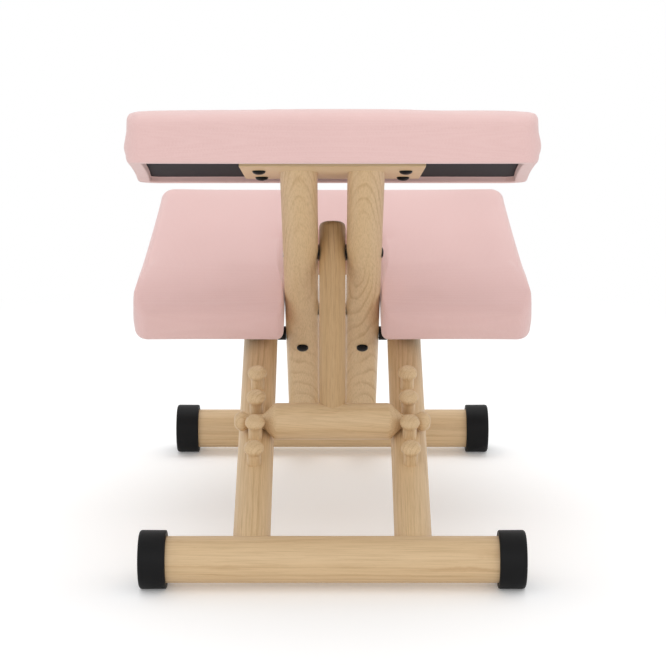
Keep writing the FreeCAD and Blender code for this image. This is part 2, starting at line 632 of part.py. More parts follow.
tie_centre = cross_pivot + post_direction * TIE_ALONG_POST
tie_half = post_inner - GLUE_GAP
sleeve = rod(tie_centre - X_AXIS * tie_half, X_AXIS, TIE_SLEEVE_DIAMETER, 2 * tie_half)
tie_bore = TIE_ROD_DIAMETER + 2 * GLUE_GAP
save("tie_sleeve", sleeve.cut(rod(tie_centre - X_AXIS * tie_half, X_AXIS, tie_bore, 2 * tie_half)))
tie_reach = post_inner + TIE_ROD_DEPTH
save("tie_rod", rod(tie_centre - X_AXIS * tie_reach, X_AXIS, TIE_ROD_DIAMETER, 2 * tie_reach))

# Strut, crosspiece and the bolt that the strut swings on
save("strut", make_strut())
save("crosspiece", make_crosspiece())
save("strut_screw", make_strut_screw())
washer_thickness = post_inner - STRUT_DIAMETER / 2 - AIR_GAP / 2 - GLUE_GAP
for side_name, side in LEFT_AND_RIGHT:
    washer_start = strut_pivot + X_AXIS * (side * (post_inner - GLUE_GAP))
    washer = rod(washer_start, X_AXIS * -side, WASHER_DIAMETER, washer_thickness)
    washer_bore = STRUT_BOLT_DIAMETER + 2 * GLUE_GAP
    save("strut_washer_" + side_name,
         washer.cut(rod(washer_start, X_AXIS * -side, washer_bore, washer_thickness)))
nut_floor = post_outer - STRUT_NUT_LENGTH
bolt_length = post_outer + nut_floor + STRUT_NUT_LENGTH / 2
strut_bolt = dome_bolt(STRUT_BOLT_HEAD_DIAMETER, STRUT_BOLT_HEAD_HEIGHT, STRUT_BOLT_DIAMETER, bolt_length)
save("strut_bolt", aim(strut_bolt, strut_pivot + X_AXIS * post_outer, X_AXIS))
nut_start = strut_pivot - X_AXIS * post_outer
nut = rod(nut_start, X_AXIS, STRUT_NUT_DIAMETER, STRUT_NUT_LENGTH)
nut_thread_start = strut_pivot - X_AXIS * (nut_floor + STRUT_NUT_LENGTH / 2 + GLUE_GAP)
nut_thread = rod(nut_thread_start, X_AXIS, STRUT_BOLT_DIAMETER + 2 * GLUE_GAP, STRUT_NUT_LENGTH)
save("strut_nut", nut.cut(nut_thread))

# Knee pad on its bracket, across the front ends of the rails
half_rear = KNEE_WIDTH_REAR / 2
half_front = KNEE_WIDTH_FRONT / 2
half_notch = NOTCH_WIDTH / 2
notch_end = KNEE_REAR + NOTCH_DEPTH
knee_corners = [
    (-half_rear, KNEE_REAR, KNEE_CORNER_RADIUS),
    (-half_notch, KNEE_REAR, NOTCH_MOUTH_RADIUS),
    (-half_notch, notch_end, NOTCH_INNER_RADIUS),
    (half_notch, notch_end, NOTCH_INNER_RADIUS),
    (half_notch, KNEE_REAR, NOTCH_MOUTH_RADIUS),
    (half_rear, KNEE_REAR, KNEE_CORNER_RADIUS),
    (half_front, KNEE_FRONT, KNEE_CORNER_RADIUS),
    (-half_front, KNEE_FRONT, KNEE_CORNER_RADIUS),
]
knee_place = (rear_axis + rail_normal * KNEE_UNDERSIDE, RAIL_SLOPE)
knee_bracket_size = (KNEE_BRACKET_WIDTH, KNEE_BRACKET_REAR, KNEE_BRACKET_REAR + KNEE_BRACKET_LENGTH)
knee_bolt_places = [(side * RAIL_OFFSET, along)
                    for along in KNEE_BOLT_PLACES for _, side in LEFT_AND_RIGHT]
upholstered_pad("knee", knee_place, knee_corners, KNEE_THICKNESS, KNEE_CROWN_INSET,
                KNEE_CROWN_HEIGHT, KNEE_SIDE_BOW, knee_bracket_size, knee_bolt_places)

knee_bracket_bottom = RAIL_DIAMETER / 2 - KNEE_SADDLE_DEPTH - KNEE_UNDERSIDE
knee_bracket = bracket_block(knee_bracket_size, 0.0, knee_bracket_bottom, bracket_top)
knee_bracket = in_plane(knee_bracket, *knee_place)
knee_bolts = []
for _, side in LEFT_AND_RIGHT:
    rail_axis = rear_axis + X_AXIS * (side * RAIL_OFFSET)
    knee_bracket = knee_bracket.cut(
        rod(rail_axis, rail_direction, RAIL_DIAMETER + 2 * GLUE_GAP, RAIL_LENGTH + RAIL_DIAMETER))
    for along in KNEE_BOLT_PLACES:
        centre = rail_axis + rail_direction * along
        bolt_bore = PAD_BOLT_DIAMETER + 2 * GLUE_GAP
        knee_bracket = knee_bracket.cut(rod(centre, rail_normal, bolt_bore, 2 * KNEE_UNDERSIDE))
        knee_bolt_top = KNEE_UNDERSIDE + board_underside + BOARD_THICKNESS - T_NUT_FLANGE_THICKNESS
        bolt = dome_bolt(DOME_DIAMETER, DOME_HEIGHT, PAD_BOLT_DIAMETER,
                         RAIL_DIAMETER / 2 + knee_bolt_top)
        knee_bolts.append(aim(bolt, centre - rail_normal * (RAIL_DIAMETER / 2), rail_normal * -1))
save("knee_bracket", knee_bracket)
save("knee_bolts", *knee_bolts)
print("crossing pin at", cross_pivot, "strut pin at", strut_pivot)
print("crosspiece at", crosspiece_axis, "post tops at", post_top)
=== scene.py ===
import json
import math

import bpy
import numpy as np
from mathutils.geometry import delaunay_2d_cdt
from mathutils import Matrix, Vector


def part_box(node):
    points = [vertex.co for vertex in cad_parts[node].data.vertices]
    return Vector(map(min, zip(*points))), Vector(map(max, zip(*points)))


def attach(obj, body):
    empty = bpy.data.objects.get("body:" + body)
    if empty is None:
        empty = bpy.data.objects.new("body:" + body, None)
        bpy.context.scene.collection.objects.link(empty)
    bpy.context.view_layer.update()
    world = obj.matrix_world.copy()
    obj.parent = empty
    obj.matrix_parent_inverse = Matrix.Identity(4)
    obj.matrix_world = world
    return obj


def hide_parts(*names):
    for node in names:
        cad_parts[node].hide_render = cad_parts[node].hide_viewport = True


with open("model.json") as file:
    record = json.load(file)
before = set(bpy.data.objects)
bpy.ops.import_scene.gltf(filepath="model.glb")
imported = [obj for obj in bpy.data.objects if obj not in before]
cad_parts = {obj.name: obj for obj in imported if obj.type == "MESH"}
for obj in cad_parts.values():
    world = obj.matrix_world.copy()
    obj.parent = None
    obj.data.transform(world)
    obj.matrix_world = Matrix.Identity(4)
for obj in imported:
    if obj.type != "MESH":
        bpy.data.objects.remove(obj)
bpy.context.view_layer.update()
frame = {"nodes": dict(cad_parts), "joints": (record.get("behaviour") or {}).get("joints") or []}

# Camera, at the height of a table top behind the chair and looking forwards and down at it.
# The long lens and the small shift put the chair where it stands in the picture.
camera_back = 2.46245
camera_height = 0.7695
camera_pitch_degrees = 12.27
camera_data = bpy.data.cameras.new("camera")
camera_data.sensor_width = 36.0
camera_data.lens = 108.1
camera_data.shift_x = 0.0009
camera_data.clip_end = 100.0
camera = bpy.data.objects.new("camera", camera_data)
camera.location = (0.0, -camera_back, camera_height)
camera.rotation_euler = (math.radians(90 - camera_pitch_degrees), 0.0, 0.0)
bpy.context.collection.objects.link(camera)
bpy.context.scene.camera = camera
bpy.context.scene.view_settings.view_transform = "Standard"


# Studio: a pale floor, a wide soft lamp over the front and a weaker one behind the camera.
# The surroundings are plain white to the camera and to gloss, and dimmer as a light. So is
# the floor, which fades to plain white away from the chair and keeps the shadow near it.
def linear(red, green, blue):
    """Colour from 0 to 255 as the eye reads it, turned into the renderer's linear values."""
    colour = np.array([red, green, blue]) / 255
    value = np.where(colour > 0.04045, ((colour + 0.055) / 1.055) ** 2.4, colour / 12.92)
    return (*value.tolist(), 1.0)


def add_node(tree, kind, inputs=None, **settings):
    """New shader node with its settings; inputs are numbers, colours or sockets to link."""
    made = tree.nodes.new("ShaderNode" + kind)
    for key, value in settings.items():
        setattr(made, key, value)
    for key, value in (inputs or {}).items():
        if isinstance(value, bpy.types.NodeSocket):
            tree.links.new(value, made.inputs[key])
        else:
            made.inputs[key].default_value = value
    return made


def white_to_the_eye(tree):
    """Factor that is 1 for camera, glossy and transmission rays."""
    path = add_node(tree, "LightPath")
    first = add_node(tree, "Math", {0: path.outputs["Is Camera Ray"],
                                    1: path.outputs["Is Glossy Ray"]}, operation="MAXIMUM")
    both = add_node(tree, "Math", {0: first.outputs[0],
                                   1: path.outputs["Is Transmission Ray"]}, operation="MAXIMUM")
    return both.outputs[0]


sky_light = 0.82
world = bpy.data.worlds.new("studio")
bpy.context.scene.world = world
world.use_nodes = True
sky = world.node_tree
sky.nodes.clear()
dim_sky = add_node(sky, "Background", {"Color": (1, 1, 1, 1), "Strength": sky_light})
white_sky = add_node(sky, "Background", {"Color": (1, 1, 1, 1), "Strength": 1.0})
sky_mix = add_node(sky, "MixShader", {0: white_to_the_eye(sky), 1: dim_sky.outputs[0],
                                      2: white_sky.outputs[0]})
add_node(sky, "OutputWorld", {"Surface": sky_mix.outputs[0]})

for name, place, aim_at, size, power in (
        ("overhead_lamp", (0.0, 0.6, 2.3), (0.0, 0.0, 0.2), 2.0, 14.0),
        ("front_lamp", (0.0, -2.9, 1.3), (0.0, 0.0, 0.3), 1.8, 10.5)):
    lamp_data = bpy.data.lights.new(name, "AREA")
    lamp_data.shape = "DISK"
    lamp_data.size = size
    lamp_data.energy = power
    lamp = bpy.data.objects.new(name, lamp_data)
    lamp.location = place
    towards = np.array(aim_at) - np.array(place)
    lamp.rotation_euler = (math.atan2(np.hypot(*towards[:2]), -towards[2]), 0,
                           math.atan2(towards[1], towards[0]) - math.pi / 2)
    bpy.context.collection.objects.link(lamp)

floor_half = 50.0
floor_grey = 0.8
seen_glow = 0.12
cast_glow = 0.16
lit_radius = 0.75
white_radius = 1.5
floor_mesh = bpy.data.meshes.new("floor")
floor_mesh.from_pydata([(-floor_half, -floor_half, 0), (floor_half, -floor_half, 0),
                        (floor_half, floor_half, 0), (-floor_half, floor_half, 0)],
                       [], [(0, 1, 2, 3)])
floor = bpy.data.objects.new("floor", floor_mesh)
bpy.context.collection.objects.link(floor)
floor_material = bpy.data.materials.new("pale_floor")
floor_material.use_nodes = True
paper = floor_material.node_tree
paper.nodes.clear()
paper_seen = add_node(paper, "BsdfDiffuse", {"Color": (1.0, 1.0, 1.0, 1)})
paper_glow = add_node(paper, "Emission", {"Color": (1, 1, 1, 1), "Strength": seen_glow})
paper_near = add_node(paper, "AddShader", {0: paper_seen.outputs[0], 1: paper_glow.outputs[0]})
paper_white = add_node(paper, "Emission", {"Color": (1, 1, 1, 1), "Strength": 1.0})
paper_place = add_node(paper, "TexCoord").outputs["Object"]
paper_reach = add_node(paper, "VectorMath", {0: paper_place}, operation="LENGTH")
paper_far = add_node(paper, "MapRange", {0: paper_reach.outputs["Value"], 1: lit_radius,
                                         2: white_radius}, interpolation_type="SMOOTHSTEP")
paper_bright = add_node(paper, "MixShader", {0: paper_far.outputs[0], 1: paper_near.outputs[0],
                                             2: paper_white.outputs[0]})
paper_plain = add_node(paper, "BsdfDiffuse", {"Color": (floor_grey, floor_grey, floor_grey, 1)})
# To all rays but the camera's the floor also glows a little, though it is no lamp: a glow that stands in
# for light bounced up onto the chair's undersides.
paper_lift = add_node(paper, "Emission", {"Color": (1, 1, 1, 1), "Strength": cast_glow})
paper_below = add_node(paper, "AddShader", {0: paper_plain.outputs[0], 1: paper_lift.outputs[0]})
paper_mix = add_node(paper, "MixShader", {0: white_to_the_eye(paper), 1: paper_below.outputs[0],
                                          2: paper_bright.outputs[0]})
add_node(paper, "OutputMaterial", {"Surface": paper_mix.outputs[0]})
floor_mesh.materials.append(floor_material)


# Floor bars: two round bars of light beech-like wood that lie across the chair.
# They are turned, sanded and lacquered; their ends sit in rubber caps.
def unit(vector):
    """Direction of a vector, one long."""
    return np.asarray(vector, float) / np.linalg.norm(vector)


def side_axes(direction):
    """Two directions square to a bar, so that first x second = direction."""
    reference = (0, 1, 0) if abs(direction[0]) > 0.9 else (1, 0, 0)
    first = unit(np.cross(direction, reference))
    return first, np.cross(direction, first)


def rounded(corners, step=0.008, points=7):
    """Half profile through corners (radius, along, rounding).

    Each inner corner becomes a parabola (1-t)^2 A + 2t(1-t) C + t^2 B that leaves the corner
    C by its rounding on both sides. Straight runs are divided every step.
    """
    corners = np.array(corners, float)
    t = np.linspace(0, 1, points)[:, None]
    stops = [corners[:1, :2]]
    for before, corner, after in zip(corners[:-2], corners[1:-1], corners[2:]):
        a = corner[:2] + unit(before[:2] - corner[:2]) * corner[2]
        b = corner[:2] + unit(after[:2] - corner[:2]) * corner[2]
        stops.append((1 - t) ** 2 * a + 2 * t * (1 - t) * corner[:2] + t ** 2 * b)
    stops.append(corners[-1:, :2])
    rows = [stops[0]]
    for curve in stops[1:]:
        run = curve[0] - rows[-1][-1]
        count = max(int(np.linalg.norm(run) / step), 1)
        rows.append(rows[-1][-1] + run * (np.arange(1, count) / count)[:, None])
        rows.append(curve)
    profile = np.concatenate(rows)
    apart = np.linalg.norm(np.diff(profile, axis=0), axis=1) > 1e-6
    return profile[np.concatenate([[True], apart])]


def ring_stack(rings):
    """Closed surface over rings of points; a pole at the centre closes the first and last."""
    count, around, _ = rings.shape
    vertices = np.concatenate([rings.reshape(-1, 3), rings[[0, -1]].mean(axis=1)])
    place = np.arange(around)
    following = (place + 1) % around
    row = np.arange(count - 1)[:, None] * around
    quads = np.stack([row + place, row + following, row + around + following,
                      row + around + place], axis=-1).reshape(-1, 4)
    top = (count - 1) * around
    pole = np.full(around, count * around)
    low = np.stack([pole, following, place], axis=-1)
    high = np.stack([pole + 1, top + place, top + following], axis=-1)
    return vertices, quads.tolist() + low.tolist() + high.tolist()


def turned(profile, start, direction, around=72):
    """Surface of revolution: start + along * axis + radius * (cos a, sin a) across it."""
    first, second = side_axes(direction)
    angle = np.arange(around) * 2 * math.pi / around
    across = np.cos(angle)[:, None] * first + np.sin(angle)[:, None] * second
    rings = np.asarray(start) + profile[:, 1, None, None] * direction
    return ring_stack(rings + profile[:, 0, None, None] * across)


def piece(name, surface, material, body, nodes, coordinates=None):
    """Object of a surface at the origin, which rides on a body and stands for CAD nodes."""
    vertices, faces = surface
    mesh = bpy.data.meshes.new(name)
    mesh.from_pydata(vertices.tolist(), [], faces)
    mesh.shade_smooth()
    if coordinates is not None:
        stored = mesh.attributes.new("pattern", "FLOAT_VECTOR", "POINT")
        stored.data.foreach_set("vector", coordinates.ravel())
    mesh.materials.append(material)
    made = bpy.data.objects.new(name, mesh)
    bpy.context.collection.objects.link(made)
    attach(made, body)
    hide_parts(*nodes)
    return made


def log_coordinates(vertices, start, direction, pith, tilt, shift):
    """Place of each point in the log it was cut from: x and y from the pith, z along it.

    The tilt leans the bar against the pith, which draws the rings out into arches.
    """
    first, second = side_axes(direction)
    from_start = vertices - np.asarray(start)
    along = from_start @ direction
    return np.stack([from_start @ first + pith[0] + tilt * along,
                     from_start @ second + pith[1], along + shift], axis=-1)


def finish_material(name):
    """Empty material with its node tree and a Principled shader on the output."""
    material = bpy.data.materials.new(name)
    material.use_nodes = True
    tree = material.node_tree
    tree.nodes.clear()
    shader = add_node(tree, "BsdfPrincipled")
    add_node(tree, "OutputMaterial", {"Surface": shader.outputs[0]})
    return material, tree, shader


def set_inputs(tree, made, inputs):
    """Links sockets to a node's inputs and puts plain values on them."""
    for key, value in inputs.items():
        if isinstance(value, bpy.types.NodeSocket):
            tree.links.new(value, made.inputs[key])
        else:
            made.inputs[key].default_value = value


def ramp(tree, factor, stops):
    """Colour ramp through (position, colour) stops."""
    made = add_node(tree, "ValToRGB", {0: factor})
    band = made.color_ramp
    while len(band.elements) < len(stops):
        band.elements.new(0.5)
    for element, (position, colour) in zip(band.elements, stops):
        element.position = position
        element.color = colour
    return made.outputs["Color"]


def stretched(tree, vector, scale):
    """Each part of a vector times its own scale."""
    return add_node(tree, "VectorMath", {0: vector, 1: scale}, operation="MULTIPLY").outputs[0]


def wood(name, light, dark, vector_of):
    """Lacquered pale wood: growth rings round the pith, fibres along it and fine pores."""
    material, tree, shader = finish_material(name)
    vector = vector_of(tree)
    drift = add_node(tree, "TexNoise", {"Vector": stretched(tree, vector, (26, 26, 5)), "Scale": 1.0,
                                        "Detail": 2.0})
    centred = add_node(tree, "VectorMath", {0: drift.outputs["Color"], 1: (0.5, 0.5, 0.5)},
                       operation="SUBTRACT")
    warp = stretched(tree, centred.outputs[0], (0.011, 0.011, 0))
    warped = add_node(tree, "VectorMath", {0: vector, 1: warp}, operation="ADD")
    rings = add_node(tree, "TexWave", {"Vector": warped.outputs[0], "Scale": 58.0,
                                       "Distortion": 0.6, "Detail": 2.0, "Detail Scale": 2.0},
                     wave_type="RINGS", rings_direction="Z", wave_profile="SAW")
    ring_tone = ramp(tree, rings.outputs["Fac"],
                     [(0.0, dark), (0.14, light), (0.7, light), (1.0, dark)])
    patch = add_node(tree, "TexNoise", {"Vector": stretched(tree, vector, (30, 30, 7)), "Scale": 1.0,
                                        "Detail": 3.0})
    rings_here = add_node(tree, "MapRange", {0: patch.outputs["Fac"], 1: 0.4, 2: 0.68, 3: 0.06,
                                             4: 0.66})
    tone = add_node(tree, "MixRGB", {0: rings_here.outputs[0], 1: light, 2: ring_tone})
    fibre = add_node(tree, "TexNoise", {"Vector": stretched(tree, vector, (900, 900, 14)),
                                        "Scale": 1.0, "Detail": 3.0})
    fibre_tone = ramp(tree, fibre.outputs["Fac"],
                      [(0.3, (0.86, 0.84, 0.80, 1)), (0.55, (1, 1, 1, 1)), (0.8, (1.04, 1.03, 1.02, 1))])
    with_fibre = add_node(tree, "MixRGB", {0: 1.0, 1: tone.outputs[0], 2: fibre_tone},
                          blend_type="MULTIPLY")
    pores = add_node(tree, "TexNoise", {"Vector": stretched(tree, vector, (1500, 1500, 90)),
                                        "Scale": 1.0, "Detail": 1.0})
    pore_tone = ramp(tree, pores.outputs["Fac"],
                     [(0.0, (0.72, 0.66, 0.58, 1)), (0.3, (0.9, 0.88, 0.85, 1)), (0.36, (1, 1, 1, 1))])
    coloured = add_node(tree, "MixRGB", {0: 0.6, 1: with_fibre.outputs[0], 2: pore_tone},
                        blend_type="MULTIPLY")
    bump = add_node(tree, "Bump", {"Strength": 0.25, "Distance": 0.0004, "Height": fibre.outputs["Fac"]})
    rough = add_node(tree, "MapRange", {0: fibre.outputs["Fac"], 3: 0.5, 4: 0.38})
    set_inputs(tree, shader, {"Base Color": coloured.outputs[0], "Roughness": rough.outputs[0],
                              "Normal": bump.outputs[0], "Specular IOR Level": 0.35})
    return material


def from_attribute(tree):
    """Place in the log or the cloth, as stored on the piece."""
    return add_node(tree, "Attribute", attribute_name="pattern").outputs["Vector"]


wood_light = linear(217, 187, 146)
wood_dark = linear(187, 150, 106)
pale_wood = wood("pale_wood", wood_light, wood_dark, from_attribute)


def node_centre(node):
    """Middle of a solid's box."""
    low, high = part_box(node)
    return (np.array(low) + np.array(high)) / 2


def node_size(node):
    """Width, depth and height of a solid's box."""
    low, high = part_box(node)
    return np.array(high) - np.array(low)


bar_edge = 0.002
bar_pith = (0.034, 0.046)
bar_tilt = 0.012
bar_shift = 1.3
core_share = 0.3
across_chair = np.array([1.0, 0.0, 0.0])
for number, (node, body) in enumerate((("rear_floor_bar", "base"), ("front_floor_bar", "seat_frame"))):
    length = node_size(node)[0]
    radius = node_size(node)[1] / 2
    start = node_centre(node) - across_chair * length / 2
    profile = rounded([(radius * core_share, 0, 0), (radius, 0, bar_edge),
                       (radius, length, bar_edge), (radius * core_share, length, 0)])
    surface = turned(profile, start, across_chair, around=96)
    piece(node + "_wood", surface, pale_wood, body, [node],
          log_coordinates(surface[0], start, across_chair, bar_pith, bar_tilt, bar_shift * number))


# Caps: cups of black moulded rubber pushed over the ends of the floor bars.
# Their rounded outer edge and fine matt texture come from the mould; the sole is flat.
def moulded(name, colour, roughness, grain, depth):
    """Matt moulded surface with a fine even grain in its bump and a faint change of gloss."""
    material, tree, shader = finish_material(name)
    place = add_node(tree, "TexCoord").outputs["Object"]
    speckle = add_node(tree, "TexNoise", {"Vector": place, "Scale": grain, "Detail": 3.0})
    tint = ramp(tree, speckle.outputs["Fac"],
                [(0.25, tuple(0.82 * part for part in colour[:3]) + (1,)), (0.75, colour)])
    gloss = add_node(tree, "MapRange", {0: speckle.outputs["Fac"], 3: roughness - 0.08,
                                        4: roughness + 0.08})
    bump = add_node(tree, "Bump", {"Strength": 0.35, "Distance": depth,
                                   "Height": speckle.outputs["Fac"]})
    set_inputs(tree, shader, {"Base Color": tint, "Roughness": gloss.outputs[0],
                              "Normal": bump.outputs[0], "Specular IOR Level": 0.14})
    return material


cap_rubber = moulded("cap_rubber", linear(20, 20, 21), 0.52, 1500.0, 0.0002)
cap_radius = 0.0336
cap_corner = 0.0042
cap_wall = 0.006
cap_mouth_edge = 0.0016
cap_draft = 0.0002
bore_edge = 0.001
bore_mouth_edge = 0.0009
bore_slack = 0.0004
for row, body in (("rear", "base"), ("front", "seat_frame")):
    bar_radius = node_size(row + "_floor_bar")[1] / 2
    bar_axis = node_centre(row + "_floor_bar")
    for word, side in (("left", -1), ("right", 1)):
        node = row + "_cap_" + word
        low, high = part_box(node)
        length = high[0] - low[0]
        mouth = np.array([(low[0] if side > 0 else high[0]), bar_axis[1], bar_axis[2]])
        bore = bar_radius + bore_slack
        profile = rounded([(bore * 0.4, length - cap_wall, 0), (bore, length - cap_wall, bore_edge),
                           (bore, 0, bore_mouth_edge), (cap_radius - cap_draft, 0, cap_mouth_edge),
                           (cap_radius, length, cap_corner), (cap_radius * 0.35, length, 0)],
                          step=0.004)
        surface = turned(profile, mouth, across_chair * side, around=96)
        surface[0][:, 2] = np.maximum(surface[0][:, 2], 0.0)
        piece(node + "_rubber", surface, cap_rubber, body, [node])


# Rails: two long round bars that rise from the rear floor bar and carry the knee pad.
# Each has a tapered foot where it meets the floor bar and a row of turned pegs on top.
def bar_surface(start, direction, foot_radius, radius, taper_end, first, last, cut=None):
    """Round bar from first to last along its axis, whose radius grows over the taper.

    Where cut gives a plane (point, normal), the far end lies in that plane instead.
    """
    foot_edge = 0.001
    shoulder_edge = 0.0012
    end_edge = 0.0025
    profile = rounded([(foot_radius * core_share, first, 0), (foot_radius, first, foot_edge),
                       (radius, taper_end, shoulder_edge), (radius, last, end_edge),
                       (radius * core_share, last, 0)])
    vertices, faces = turned(profile, start, direction, around=96)
    if cut is not None:
        plane_point, plane_normal = cut
        along = (vertices - start) @ direction
        foot = vertices - along[:, None] * direction
        limit = (plane_point - foot) @ plane_normal / (direction @ plane_normal)
        share = (along - first) / (last - first)
        vertices = foot + (first + share * (limit - first))[:, None] * direction
    return vertices, faces


joint_places = {joint["name"]: np.array(joint["pos_m"]) for joint in frame["joints"]}
cross_pivot = joint_places["cross_fold"]
rear_axis = node_centre("rear_floor_bar")
rail_direction = unit((cross_pivot - rear_axis) * [0, 1, 1])
rail_normal = np.cross(across_chair, rail_direction)
rail_length = 0.590
taper_end = 0.040
taper_depth = 0.0017
buried = 0.014
rail_pith = 0.03
rail_pith_step = 0.01
rail_tilt = 0.03
rail_shift = 2.7
for number, word in enumerate(("left", "right")):
    node = "rail_" + word
    radius = node_size(node)[0] / 2
    start = rear_axis * [0, 1, 1] + across_chair * node_centre(node)[0]
    surface = bar_surface(start, rail_direction, radius - taper_depth, radius, taper_end,
                          buried, rail_length)
    piece(node + "_wood", surface, pale_wood, "base", [node],
          log_coordinates(surface[0], start, rail_direction,
                          (rail_pith, rail_pith + rail_pith_step * number), rail_tilt,
                          rail_shift + number))


# Pegs: turned wooden mushrooms glued into the tops of the rails, four on each.
# The necks of the crosspiece drop behind one pair of them and so set the seat's height.
peg_first = 0.1435
peg_spacing = 0.0475
peg_count = 4
peg_neck = 0.0085
peg_head = 0.012
peg_neck_height = 0.0165
peg_height = 0.029
peg_base = -0.006
peg_pith = (0.02, 0.03)
peg_pith_step = 0.004
peg_tilt = 0.1
peg_shift = 5.1
peg_shift_step = 0.3


def mushroom(neck, head, neck_top, top, base):
    """Half profile of a neck that flares into a head with a domed top.

    Heights on the head and their roundings are shares of the rise from the neck to the top.
    """
    rise = top - neck_top
    base_edge = 0.0005
    return [(neck * core_share, base, 0), (neck, base, base_edge),
            (neck, neck_top - 0.12 * rise, 0.22 * rise), (head, neck_top + 0.30 * rise, 0.12 * rise),
            (head, neck_top + 0.56 * rise, 0.13 * rise), (head * 0.62, top, 0.26 * rise),
            (head * 0.15, top, 0)]


for number, word in enumerate(("left", "right")):
    rail = "rail_" + word
    rail_radius = node_size(rail)[0] / 2
    for index in range(peg_count):
        node = "peg_" + word + "_" + str(index + 1)
        foot = (rear_axis * [0, 1, 1] + across_chair * node_centre(rail)[0]
                + rail_direction * (peg_first + peg_spacing * index) + rail_normal * rail_radius)
        profile = rounded(mushroom(peg_neck, peg_head, peg_neck_height, peg_height, peg_base),
                          step=0.003)
        surface = turned(profile, foot, rail_normal, around=48)
        piece(node + "_wood", surface, pale_wood, "base", [node],
              log_coordinates(surface[0], foot, rail_normal,
                              (peg_pith[0] + peg_pith_step * index, peg_pith[1]), peg_tilt,
                              peg_shift + peg_shift_step * index + number))


# Posts: two round bars that rise backwards from the front floor bar, between the rails.
# Their feet taper into the bar and their tops are cut to the slope of the seat.
front_axis = node_centre("front_floor_bar")
post_direction = unit((cross_pivot - front_axis) * [0, 1, 1])
post_above_pivot = 0.3607
post_top = cross_pivot * [0, 1, 1] + post_direction * post_above_pivot
seat_slope = math.radians(-12.1)
seat_proud = 0.001
post_pith = (-0.055, 0.004)
post_pith_step = -0.009
post_tilt = 0.17
post_shift = 8.3
post_shift_step = 1.7
seat_up = np.array([0.0, -math.sin(seat_slope), math.cos(seat_slope)])
for number, word in enumerate(("left", "right")):
    node = "post_" + word
    radius = node_size(node)[0] / 2
    start = front_axis * [0, 1, 1] + across_chair * node_centre(node)[0]
    last = float((post_top - front_axis * [0, 1, 1]) @ post_direction)
    surface = bar_surface(start, post_direction, radius - taper_depth, radius, taper_end, buried, last,
                          cut=(post_top + seat_up * seat_proud, seat_up))
    piece(node + "_wood", surface, pale_wood, "seat_frame", [node],
          log_coordinates(surface[0], start, post_direction,
                          (post_pith[0], post_pith[1] + post_pith_step * number), post_tilt,
                          post_shift + post_shift_step * number))


# Strut: a thinner round bar that hangs between the posts on a bolt, with a rounded top.
# Its foot is hollowed to sit on the crosspiece, and a screw holds the two together.
strut_pivot = joint_places["strut_swing"]
cross_axis = node_centre("crosspiece") * [0, 1, 1]
strut_direction = unit((strut_pivot - cross_axis) * [0, 1, 1])
strut_radius = node_size("strut")[0] / 2
strut_above_pivot = 0.038
strut_last = float((strut_pivot - cross_axis) @ strut_direction) + strut_above_pivot
strut_foot_edge = 0.001
strut_rounding = 0.008
strut_top_core = 0.25
strut_pith = (0.01, -0.04)
strut_tilt = 0.05
strut_shift = 12.4
profile = rounded([(strut_radius * core_share, buried, 0), (strut_radius, buried, strut_foot_edge),
                   (strut_radius, strut_last, strut_rounding),
                   (strut_radius * strut_top_core, strut_last, 0)])
surface = turned(profile, cross_axis, strut_direction, around=96)
# The strut's wood is a darker copy of the pale wood: painted shade, standing in for the shade that falls
# on the strut under the seat and between the posts.
strut_wood_painted_shade = wood("strut_wood_painted_shade", linear(196, 162, 118), linear(166, 128, 88), from_attribute)
piece("strut_wood_painted_shade", surface, strut_wood_painted_shade, "strut", ["strut"],
      log_coordinates(surface[0], cross_axis, strut_direction, strut_pith, strut_tilt, strut_shift))


# Crosspiece: turned from one bar, full in the middle and coned down to two necks.
# The necks lie on the rails behind a pair of pegs, and knobs at their ends hold them there.
full_half = 0.070
knob_length = 0.016
full_radius = node_size("crosspiece")[2] / 2
cross_half = node_size("crosspiece")[0] / 2
cone_end = full_half + full_radius - peg_neck
knob_radius = 0.012
cone_rounding = 0.004
cross_pith = (0.006, 0.022)
cross_tilt = 0.07
cross_shift = 15.2
half_knob = mushroom(peg_neck, knob_radius, cross_half - knob_length, cross_half, cone_end)[2:]
half_profile = [(full_radius, full_half, cone_rounding), (peg_neck, cone_end, cone_rounding), *half_knob]
whole = [(radius, -along, rounding) for radius, along, rounding in half_profile[::-1]] + half_profile
profile = rounded(whole, step=0.004)
surface = turned(profile, cross_axis, across_chair, around=96)
piece("crosspiece_wood", surface, pale_wood, "strut", ["crosspiece"],
      log_coordinates(surface[0], cross_axis, across_chair, cross_pith, cross_tilt, cross_shift))


